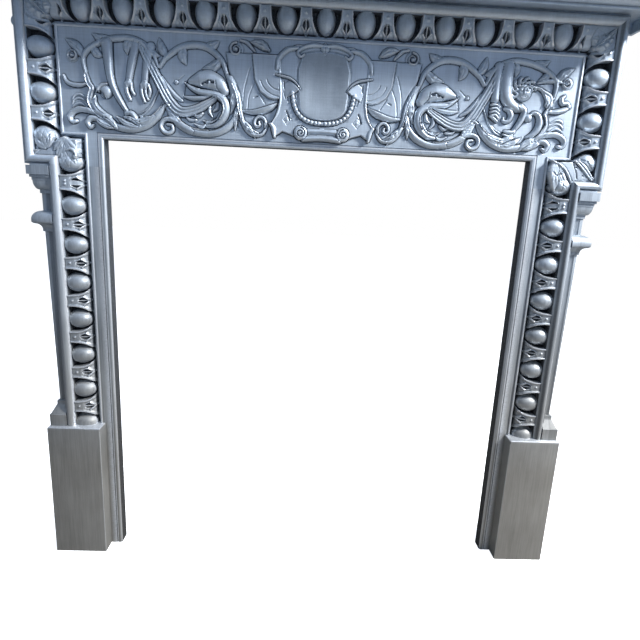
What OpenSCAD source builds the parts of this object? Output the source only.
// Cast iron fireplace surround: two jambs, a header with lugged corners, and a mantel shelf.
// Frame: X to the right, Z up, the front faces -Y, the hearth is Z = 0.
// The origin is the middle of the whole footprint, so the wall stands half the shelf's depth behind it.
// A depth is always measured forward from the wall, towards -Y.
// The moulding stations run outward from the edge of the fire opening.

/* [Opening] */
// Clear width of the fire opening
opening_w = 960; // [760:10:1160]
// Clear height of the fire opening
opening_h = 1016; // [840:2:1200]

/* [Widths of the moulded bands, outward from the opening] */
// Quarter round and fillet of the slip
slip_w = 11; // [8:0.5:16]
// Sunk line outside the slip
groove_w = 2; // [1:0.5:4]
// Plain flat band
band_w = 20; // [12:1:40]
// Round bead
bead_w = 6; // [4:0.5:10]
// Sunk hollow between bead and ovolo
hollow_w = 9; // [6:0.5:14]
// Ovolo that carries the eggs and darts
ovolo_w = 43; // [36:1:56]
// Half-round outer border
border_w = 25; // [18:1:36]

/* [Depths forward of the wall] */
// Face of the flat band and of the frieze
face_d = 32; // [26:1:40]
// Depth of the sunk line
groove_depth = 2.5; // [1:0.5:4]
// Floor of the hollow and of the egg cups
sunk_d = 27; // [22:0.5:30]
// Where the ovolo starts, beside the hollow
ovolo_low_d = 33; // [30:0.5:38]
// Highest line of the ovolo
ovolo_high_d = 50; // [44:1:60]
// Spring line of the border
border_low_d = 45; // [40:1:52]
// Crest of the border
border_high_d = 57; // [50:1:68]
// Front face of the plinths
plinth_d = 69; // [60:1:90]
// Face of the pilaster shaft
shaft_d = 38; // [30:1:46]
// Floor of the valley between shaft and border
valley_d = 19; // [16:1:26]
// Back of the thick part behind the ovolo
core_d = 17; // [12:1:20]
// Metal thickness of walls and plates
wall = 7; // [5:0.5:9]

/* [Heights] */
// Top of the plinths
plinth_h = 341; // [260:1:420]
// Height from the joint line to the opening's head
ear_drop = 60; // [50:1:80]
// Clear height of the frieze, from slip to bead
frieze_h = 207; // [170:1:260]
// Sideways step of the lugged corner
ear_step = 50; // [40:1:60]
// Share of the moulding's width left in the short level run
step_share = 0.85; // [0.75:0.05:1]

/* [Plinth and pilaster] */
// Inner edge of the plinth, outward from the opening
plinth_in = 28; // [24:1:31]
// Width of the plinth
plinth_w = 126; // [120:1:150]
// Width of the shaft at its top, outside the border
shaft_top_w = 24; // [20:1:32]
// Width of the shaft at its foot, outside the border
shaft_foot_w = 16; // [14:1:24]
// Width of the valley beside the border
valley_w = 12; // [8:1:13]

/* [Eggs and darts] */
// Spacing of the eggs up the jambs
egg_pitch = 87.6; // [80:0.1:96]
// Height of the lowest egg above the plinth
egg_start = 5; // [0:1:20]
// Half width of an egg
egg_r = 20.5; // [16:0.5:24]
// Clear width of the cup round an egg, on each side
cup_gap = 8.5; // [5:0.5:10]

/* [Shelf] */
// Overhang of the shelf past the outer corners
shelf_over = 62; // [30:1:120]
// Depth of the shelf from the wall
shelf_d = 170; // [130:5:230]
// Thickness of the shelf's plate
shelf_plate = 10; // [8:1:16]
// Height of the moulded rim that hangs in front
shelf_rim_h = 34; // [28:1:50]

/* [Wall lugs] */
// Diameter of the screw holes
lug_hole = 9; // [6:0.5:12]
// Thickness of the lugs
lug_t = 6; // [5:0.5:8]

/* [Hidden] */
$fn = 48;
iron = "#8b9199";
big = 400;

half_w = opening_w / 2;
// Stations across the moulding, from the opening's edge
s_groove = slip_w;
s_band = s_groove + groove_w;
s_bead = s_band + band_w;
s_hollow = s_bead + bead_w;
s_ovolo = s_hollow + hollow_w;
s_border = s_ovolo + ovolo_w;
s_out = s_border + border_w;
joint_z = opening_h - ear_drop;
frieze_low_z = opening_h + s_band;
frieze_top_z = frieze_low_z + frieze_h;
top_z = frieze_top_z + s_out - s_bead;
leg_out = half_w + s_out;
ear_out = leg_out + ear_step;
plinth_x = half_w + plinth_in;
plinth_out = plinth_x + plinth_w;
egg_mid_s = s_ovolo + ovolo_w / 2;

// Level of a station in the short level run, and in the top run
function step_z(s) = joint_z + step_share * (s_out - s);
function head_z(s) = frieze_top_z + s - s_bead;

// Points of an arc of an ellipse, in degrees
function arc(cx, cy, rx, ry, a0, a1, n = 12) =
    [for (i = [0:n]) let (a = a0 + (a1 - a0) * i / n) [cx + rx * cos(a), cy + ry * sin(a)]];

// Front line of the moulding from the bead outward, as [station, depth]
function architrave_front() = concat(
    arc(s_bead + bead_w / 2, face_d, bead_w / 2, bead_w / 2, 180, 0, 8),
    [[s_hollow + 1, sunk_d], [s_ovolo - 1, sunk_d]],
    arc(s_border, ovolo_low_d, ovolo_w, ovolo_high_d - ovolo_low_d, 180, 90, 10),
    arc(s_border + border_w / 2, border_low_d, border_w / 2, border_high_d - border_low_d, 180, 0, 14));

// Front line of the slip and the sunk line
function slip_front() = concat(
    arc(slip_w * 0.55, face_d - slip_w * 0.55, slip_w * 0.55, slip_w * 0.55, 180, 90, 8),
    [[slip_w * 0.62, face_d - 1], [slip_w * 0.66, face_d], [s_groove, face_d],
     [s_groove, face_d - groove_depth], [s_band, face_d - groove_depth], [s_band, face_d]]);

// Back line of the moulding, a hollow with walls
function architrave_back() = [
    [s_out, 0], [s_out - wall, 0], [s_out - wall, core_d], [s_hollow, core_d], [s_hollow - 1, face_d - wall]];

function leg_outline() = concat(
    [[0, 0]], slip_front(), architrave_front(), architrave_back(),
    [[wall, face_d - wall], [wall, 0]]);

function architrave_outline() = concat(
    [[s_bead, face_d - wall]], architrave_front(), architrave_back());

function slip_outline() = concat(
    [[0, 0]], slip_front(), [[s_band + 1, face_d], [s_band + 1, face_d - wall], [wall, face_d - wall], [wall, 0]]);

// A plate or prism seen from the front: outline in X and Z, between two depths
module front_prism(outline, d0, d1) {
    translate([0, -d0, 0])
        rotate([90, 0, 0])
            linear_extrude(d1 - d0)
                polygon(outline);
}

// A section that runs up: outline in station and depth
module upright(outline, z0, z1, shift = 0) {
    translate([0, 0, z0])
        linear_extrude(z1 - z0)
            polygon([for (p = outline) [half_w + shift + p[0], -p[1]]]);
}

// A section that runs level, from x = 0 out to length, outline in height and depth
module level(outline, length) {
    translate([length, 0, 0])
        rotate([0, -90, 0])
            linear_extrude(length)
                polygon([for (p = outline) [p[0], -p[1]]]);
}

// Half ellipse outline of a cup or an egg, round end towards the opening
function half_egg(long, half) = concat(
    [[0, half]],
    [for (i = [1:13]) let (a = 90 + 180 * i / 14) [long * cos(a), half * sin(a)]],
    [[0, -half]]);

// The cup sunk round one egg; x runs outward, z forward, origin on the border's inner line
module egg_cup() {
    translate([0.01, 0, sunk_d])
        linear_extrude(big)
            polygon(half_egg(ovolo_w - 1, egg_r + cup_gap));
}

// One egg, a half turn of half an ellipse, on the floor of its cup
module egg() {
    translate([0.5, 0, sunk_d - 0.5])
        rotate([0, -90, 0])
            rotate([0, 0, -90])
                rotate_extrude(angle = 180, $fn = 36)
                    polygon(concat([[0, 0]],
                        [for (i = [0:9]) let (a = 90 * i / 9)
                            [egg_r * cos(a), (ovolo_w - 4) * sin(a)]]));
}

// One dart: an arrowhead towards the opening, its shaft, and a dot beside the border
module dart(tip_d) {
    translate([0, 0, sunk_d]) {
        linear_extrude(tip_d - sunk_d)
            polygon([[-ovolo_w + 2, 0], [-ovolo_w + 12, 7], [-ovolo_w + 13, 2.2],
                     [-12, 1.4], [-12, -1.4], [-ovolo_w + 13, -2.2], [-ovolo_w + 12, -7]]);
        translate([-7, 0, ovolo_high_d - sunk_d - 1.5])
            sphere(r = 3, $fn = 24);
    }
}

dart_d = ovolo_low_d + 0.62 * (ovolo_high_d - ovolo_low_d);

// Puts something made on the border's inner line of an upright run at a height
module on_upright(z, shift = 0) {
    translate([half_w + shift + s_border, 0, z])
        rotate([90, 0, 0])
            children();
}

// The same on the top run, at a distance from the middle
module on_head(x) {
    translate([x, 0, head_z(s_border)])
        rotate([90, 0, 0])
            rotate([0, 0, 90])
                children();
}

// Heights of the eggs on a jamb, and of the darts between them
jamb_eggs = [for (z = [plinth_h + egg_start:egg_pitch:joint_z + egg_r]) z];
jamb_darts = [for (z = jamb_eggs) if (z + egg_pitch / 2 < joint_z - egg_r) z + egg_pitch / 2];
// On the lugs, counted down from the top corner
lug_corner_z = head_z(egg_mid_s);
ear_low_z = step_z(s_bead) + egg_r + cup_gap;
lug_eggs = [for (k = [1:6]) if (lug_corner_z - k * egg_pitch > ear_low_z) lug_corner_z - k * egg_pitch];
lug_darts = [for (z = concat(lug_eggs, [lug_corner_z])) if (z - egg_pitch / 2 > ear_low_z) z - egg_pitch / 2];
// Along the head, an egg in the middle and whole spaces to the corners
corner_x = half_w + ear_step + egg_mid_s;
head_count = round(corner_x / egg_pitch);
head_pitch = corner_x / head_count;

// Outline of a leaf with round lobes, its root at the origin and its tip at [0, length]
function leaf_half(length, half, lobes) = [
    for (i = [0:6 * lobes]) let (u = i / (6 * lobes))
        [half * pow(sin(180 * pow(u, 0.8)), 0.75) * (0.86 + 0.14 * abs(sin(180 * lobes * u))), length * u]];
function leaf_outline(length, half, lobes) = let (h = leaf_half(length, half, lobes), n = len(h) - 1)
    concat([for (p = h) p], [for (i = [n - 1:-1:1]) [-h[i][0], h[i][1]]]);

// A leaf with a raised rib, lying forward of a depth
module leaf(length, half, lobes, d0, d1) {
    translate([0, 0, d0]) {
        linear_extrude(d1 - d0)
            polygon(leaf_outline(length, half, lobes));
        linear_extrude(d1 - d0 + 1.5)
            polygon([[-2, 1], [2, 1], [0.8, length * 0.92], [-0.8, length * 0.92]]);
    }
}

// Acanthus over one mitre of the moulding: x, z of the mitre's middle and the angle of the leaf
module mitre_leaf(x, z, turn, length, half) {
    translate([x, 0, z])
        rotate([90, 0, 0])
            rotate([0, 0, turn])
                translate([0, -length / 2, 0])
                    leaf(length, half, 5, back_d, ovolo_high_d - 2);
}

// Projection of the pilaster past its shaft, at each height, from foot to top
block_p = 19;
ring_z = joint_z - 120;
cap_z = joint_z - 63;
function pilaster_steps() = concat(
    [[0, plinth_h - wall / 2], [block_p, plinth_h - wall / 2], [block_p, plinth_h + 29], [block_p - 2, plinth_h + 30]],
    [[6, plinth_h + 50], [5, plinth_h + 52], [5, plinth_h + 60], [0, plinth_h + 61]],
    [[0, ring_z - 27], [3, ring_z - 26.5], [3, ring_z - 22]],
    arc(14, ring_z - 22, 11, 13, 180, 90, 6),
    arc(13, ring_z - 4, 6, 5, -90, 0, 5),
    arc(2, ring_z, 17, 19, 0, 90, 7),
    [[0, ring_z + 20], [0, cap_z], [2.5, cap_z + 0.5], [2.5, cap_z + 8]],
    arc(3, cap_z + 28, 9, 20, -90, 0, 6),
    [[13, cap_z + 28], [13, cap_z + 34], [16, cap_z + 34], [16, cap_z + 40]],
    [[20, cap_z + 40], [20, joint_z - 4], [14, joint_z - 4], [14, joint_z], [0, joint_z]]);

function shaft_edge(z) = leg_out + shaft_foot_w
    + (shaft_top_w - shaft_foot_w) * (z - plinth_h) / (joint_z - plinth_h);

// The pilaster outside the border: one moulded outline from the front, met by the same from the side
module pilaster() {
    steps = pilaster_steps();
    base_z = plinth_h - wall / 2;
    difference() {
        intersection() {
            front_prism(concat([[leg_out - wall / 2, base_z]],
                [for (p = steps) [shaft_edge(p[1]) + p[0], p[1]]],
                [[leg_out - wall / 2, joint_z]]), 0, big);
            translate([leg_out - big / 2, 0, 0])
                rotate([90, 0, 90])
                    linear_extrude(big)
                        polygon(concat([[0, base_z]], [for (p = steps) [-shaft_d - p[0], p[1]]], [[0, joint_z]]));
        }
        for (span = [[plinth_h + 61, ring_z - 27], [ring_z + 20, cap_z]])
            upright([[s_out, valley_d], [s_out, big], [s_out + valley_w + 1, big],
                     [s_out + valley_w, shaft_d], [s_out + valley_w * 0.75, valley_d + 4],
                     [s_out + valley_w * 0.4, valley_d]], span[0], span[1]);
        upright([[s_out - wall, -1], [s_out - wall, valley_d - wall], [s_out + shaft_foot_w - wall, valley_d - wall],
                 [s_out + shaft_foot_w - wall, -1]], base_z - 1, joint_z - wall);
    }
}

// The hollow plinth block, open at the back and at the foot
module plinth() {
    edge = 2;
    difference() {
        intersection() {
            front_prism([[plinth_x, 0], [plinth_out, 0], [plinth_out, plinth_h - edge],
                [plinth_out - edge, plinth_h], [plinth_x + edge, plinth_h], [plinth_x, plinth_h - edge]], 0, plinth_d);
            translate([0, 0, 0])
                rotate([90, 0, 90])
                    linear_extrude(big * 3)
                        polygon([[0, 0], [-plinth_d, 0], [-plinth_d, plinth_h - edge],
                            [-plinth_d + edge, plinth_h], [0, plinth_h]]);
        }
        translate([plinth_x + wall, -plinth_d + wall, -1])
            cube([plinth_w - 2 * wall, plinth_d - wall + 1, plinth_h - wall + 1]);
    }
}

// One jamb on the right-hand side
module jamb() {
    color(iron) {
        difference() {
            union() {
                upright(leg_outline(), plinth_h - wall, joint_z);
                intersection() {
                    upright(leg_outline(), 0, plinth_h - wall + 1);
                    translate([half_w - 1, -big, 0])
                        cube([plinth_in + 3, big + 1, plinth_h]);
                }
                pilaster();
            }
            intersection() {
                for (z = jamb_eggs)
                    on_upright(z) egg_cup();
                translate([half_w, -big - 1, plinth_h])
                    cube([big, big + 1, joint_z]);
            }
        }
        plinth();
        intersection() {
            union() {
                for (z = jamb_eggs)
                    on_upright(z) egg();
                for (z = jamb_darts)
                    on_upright(z) dart(dart_d);
            }
            translate([half_w, -big, plinth_h - 1])
                cube([big, big, joint_z - plinth_h + 1]);
        }
    }
}

// Regions of the header's right half, seen from the front
function leg_stub() = [
    [half_w, joint_z], [leg_out, joint_z], [half_w + s_bead, step_z(s_bead)],
    [half_w + s_bead, frieze_low_z], [half_w + s_band, frieze_low_z], [half_w, opening_h]];
function step_region() = [
    [leg_out, joint_z], [ear_out, joint_z], [half_w + ear_step + s_bead, step_z(s_bead)],
    [half_w + s_bead, step_z(s_bead)]];
function ear_region() = [
    [ear_out, joint_z], [ear_out, top_z], [half_w + ear_step + s_bead, frieze_top_z],
    [half_w + ear_step + s_bead, step_z(s_bead)]];
function head_region() = [
    [0, top_z], [ear_out, top_z], [half_w + ear_step + s_bead, frieze_top_z], [0, frieze_top_z]];

// The moulding of the header's right half, without its carving
module header_moulding() {
    intersection() {
        upright(leg_outline(), joint_z, frieze_low_z + 1);
        front_prism(leg_stub(), -1, big);
    }
    intersection() {
        level([for (p = architrave_outline()) [step_z(p[0]), p[1]]], ear_out + 1);
        front_prism(step_region(), -1, big);
    }
    intersection() {
        upright(architrave_outline(), joint_z, top_z, ear_step);
        front_prism(ear_region(), -1, big);
    }
    intersection() {
        level([for (p = architrave_outline()) [head_z(p[0]), p[1]]], ear_out + 1);
        front_prism(head_region(), -1, big);
    }
    intersection() {
        level([for (p = slip_outline()) [opening_h + p[0], p[1]]], half_w + s_band);
        front_prism([[0, opening_h], [half_w, opening_h], [half_w + s_band, frieze_low_z],
            [half_w + s_band, frieze_low_z + 1], [0, frieze_low_z + 1]], -1, big);
    }
    front_prism([[0, frieze_low_z], [half_w + s_bead, frieze_low_z], [half_w + s_bead, step_z(s_bead)],
        [half_w + ear_step + s_bead + 0.5, step_z(s_bead)], [half_w + ear_step + s_bead + 0.5, frieze_top_z + 0.5],
        [0, frieze_top_z + 0.5]], face_d - wall, face_d);
}

// Screw lug at the wall, beside the upper part of a lug
lug_reach = 26;
lug_z = top_z - 70;
module wall_lug() {
    hole_x = ear_out + lug_reach - 12;
    difference() {
        union() {
            translate([ear_out - wall / 2, -lug_t, lug_z - 12])
                cube([hole_x - ear_out + wall / 2, lug_t, 24]);
            translate([hole_x, 0, lug_z])
                rotate([90, 0, 0])
                    cylinder(r = 12, h = lug_t);
        }
        translate([hole_x, 1, lug_z])
            rotate([90, 0, 0])
                cylinder(d = lug_hole, h = lug_t + 2);
    }
}

// Band of even width along a spiral: centre, first and last radius, angles in degrees
function spiral(c, r0, r1, a0, a1, w0, w1, n = 26) = concat(
    [for (i = [0:n]) let (u = i / n, a = a0 + (a1 - a0) * u, r = r0 + (r1 - r0) * u, w = w0 + (w1 - w0) * u)
        c + (r + w / 2) * [cos(a), sin(a)]],
    [for (i = [n:-1:0]) let (u = i / n, a = a0 + (a1 - a0) * u, r = r0 + (r1 - r0) * u, w = w0 + (w1 - w0) * u)
        c + (r - w / 2) * [cos(a), sin(a)]]);

// Height of the frieze's carving above its field
relief = 5;
back_d = face_d - wall + 1;

// Straight band between two points, its width changing along it
function band(p, q, w0, w1) = let (n = [p[1] - q[1], q[0] - p[0]] / norm(q - p))
    [p + n * w0 / 2, q + n * w1 / 2, q - n * w1 / 2, p - n * w0 / 2];

// Something carved on the frieze: outline measured from the middle of the slip's upper line
module carved(outline, high = relief) {
    translate([0, 0, frieze_low_z])
        front_prism(outline, face_d - 1, face_d + high);
}

module frieze_leaf(x, z, turn, length, half) {
    translate([x, -face_d + 1, frieze_low_z + z])
        rotate([90, 0, 0])
            rotate([0, 0, turn])
                leaf(length, half, 4, 0, relief);
}

// Shield with its rope border, between two volutes joined by a roll
module cartouche() {
    shield_z = frieze_h * 0.53;
    roll_z = 19;
    carved(concat(arc(0, shield_z - 4, 65, 68, 180, 360, 20), arc(0, shield_z + 42, 65, 18, 0, 180, 12)), 3);
    carved(concat(arc(0, shield_z - 4, 57, 58, 180, 360, 20), arc(0, shield_z + 38, 57, 14, 0, 180, 12)), relief + 2);
    translate([0, -face_d - 2.5, frieze_low_z + roll_z])
        rotate([0, 90, 0])
            cylinder(r = 9, h = 76, center = true);
    for (side = [-1, 1]) {
        translate([side * 48, -back_d, frieze_low_z + roll_z])
            rotate([90, 0, 0])
                cylinder(r = 13, h = face_d - back_d + relief + 3);
        carved(band([side * 104, 40], [side * 84, 84], 12, 12));
        carved(band([side * 84, 84], [side * 92, 150], 12, 16));
        carved(band([side * 92, 150], [side * 70, 186], 16, 10));
    }
}

// Main scrolls, straps and beasts of one half of the frieze
module scrolls() {
    carved(spiral([248, 65], 58, 52, -150, 165, 8, 6));
    carved(spiral([226, 96], 26, 22, 100, -100, 20, 8));
    carved(arc(247, 110, 16, 12, 0, 360, 16), relief + 2);
    carved(spiral([144, 38], 24, 8, 120, 420, 8, 4));
    carved(spiral([342, 17], 15, 6, 60, 380, 6, 4));
    carved(band([296, 46], [262, 160], 10, 14), 3);
    carved(band([296, 46], [372, 160], 10, 14), 4);
    carved(spiral([427, 76], 70, 62, 185, 335, 9, 7));
    carved(band([426, 44], [457, 102], 5, 8));
    carved(spiral([482, 78], 22, 12, -70, 170, 7, 5));
    carved(spiral([506, 22], 14, 8, 60, 300, 7, 4));
    carved(spiral([400, 96], 22, 16, 190, 400, 12, 8));
    carved(arc(437, 128, 19, 22, 0, 360, 20), relief + 2);
    carved(spiral([150, 150], 34, 14, -120, 200, 9, 5));
    carved(spiral([330, 160], 32, 12, 200, -130, 9, 5));
    carved(spiral([500, 160], 30, 12, 220, -90, 9, 5));
    frieze_leaf(420, 10, 20, 62, 15);
    frieze_leaf(250, 40, 10, 50, 14);
    frieze_leaf(530, 84, -10, 44, 12);
    frieze_leaf(200, 120, 40, 60, 14);
    frieze_leaf(396, 140, -60, 52, 13);
}

module header() {
    color(iron) {
        for (side = [0, 1])
            mirror([side, 0, 0]) {
                difference() {
                    header_moulding();
                    intersection() {
                        on_upright(jamb_eggs[len(jamb_eggs) - 1]) egg_cup();
                        front_prism(leg_stub(), -1, big);
                    }
                    for (z = lug_eggs)
                        on_upright(z, ear_step) egg_cup();
                    for (k = [0:head_count - 1])
                        on_head(k * head_pitch) egg_cup();
                }
                intersection() {
                    on_upright(jamb_eggs[len(jamb_eggs) - 1]) egg();
                    front_prism([[half_w, joint_z], [leg_out, joint_z], [leg_out, joint_z + egg_r * 2],
                        [half_w, joint_z + egg_r * 2]], -1, big);
                }
                for (z = lug_eggs)
                    on_upright(z, ear_step) egg();
                for (z = lug_darts)
                    on_upright(z, ear_step) dart(dart_d);
                for (k = [0:head_count - 1])
                    on_head(k * head_pitch) egg();
                for (k = [0:head_count - 1])
                    on_head((k + 0.5) * head_pitch) dart(dart_d);
                mitre_leaf(half_w + ear_step / 2 + egg_mid_s, step_z(egg_mid_s), 55, ear_step + 60, 19);
                mitre_leaf(corner_x, lug_corner_z, -45, 76, 21);
                wall_lug();
                scrolls();
            }
        cartouche();
    }
}

// Outline of the shelf's rim: how far each height stands in from the outermost line
function rim_steps() = concat(
    [[26, 0], [26, 5]],
    arc(26, 14, -14, 9, -90, 0, 6),
    [[10, 14], [10, 16]],
    arc(8, 24, 8, 8, -90, -180, 6),
    [[0, shelf_rim_h - 3]],
    arc(3, shelf_rim_h - 3, 3, 3, 180, 90, 4));

module mantel_shelf() {
    low_z = top_z + shelf_plate - shelf_rim_h;
    edge_x = ear_out + shelf_over;
    steps = rim_steps();
    n = len(steps) - 1;
    color(iron)
        difference() {
            intersection() {
                front_prism(concat([for (p = steps) [edge_x - p[0], low_z + p[1]]],
                    [for (i = [n:-1:0]) [steps[i][0] - edge_x, low_z + steps[i][1]]]), 0, shelf_d);
                translate([-edge_x - 1, 0, 0])
                    rotate([90, 0, 90])
                        linear_extrude(2 * edge_x + 2)
                            polygon(concat([[0, low_z]], [for (p = steps) [-shelf_d + p[0], low_z + p[1]]],
                                [[0, low_z + shelf_rim_h]]));
            }
            translate([-edge_x + 26 + wall, -shelf_d + 26 + wall, low_z - 1])
                cube([2 * (edge_x - 26 - wall), shelf_d, top_z - low_z + 1]);
        }
}

// Every module above is drawn with the wall at Y = 0; this brings it to its place behind the origin
module from_wall() {
    translate([0, shelf_d / 2, 0])
        children();
}

module right_jamb() from_wall() jamb();
module left_jamb() mirror([1, 0, 0]) right_jamb();

left_jamb();
right_jamb();
from_wall() header();
from_wall() mantel_shelf();
